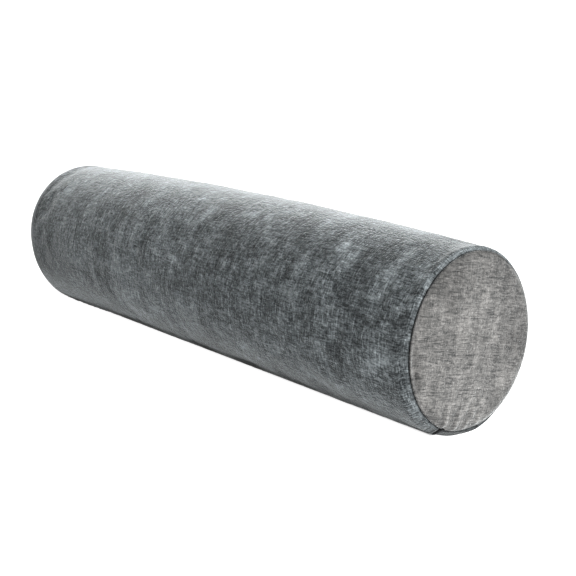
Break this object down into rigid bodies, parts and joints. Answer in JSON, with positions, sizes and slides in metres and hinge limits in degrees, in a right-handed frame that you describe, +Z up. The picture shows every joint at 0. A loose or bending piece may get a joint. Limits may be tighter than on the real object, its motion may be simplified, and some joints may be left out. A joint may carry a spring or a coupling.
{
  "type": "neck roll pillow",
  "caption": "Firm round neck roll pillow in grey chenille: a slightly swelled body with a crowned round panel sewn into each end, lying on its side.",
  "frame": {"origin": "on the surface the roll lies on, under the centre of its bounding box", "axes": "+X along the roll towards the near end, +Z up, -Y towards the front, where the closing seam is"},
  "size_m": [0.5972, 0.155, 0.1527],
  "materials": {
    "chenille": "mottled mid-grey chenille with a short soft pile and a light sheen"
  },
  "bodies": {
    "root": {"body_roll": "chenille", "end_panel_near": "chenille", "end_panel_far": "chenille"}
  },
  "joints": []
}
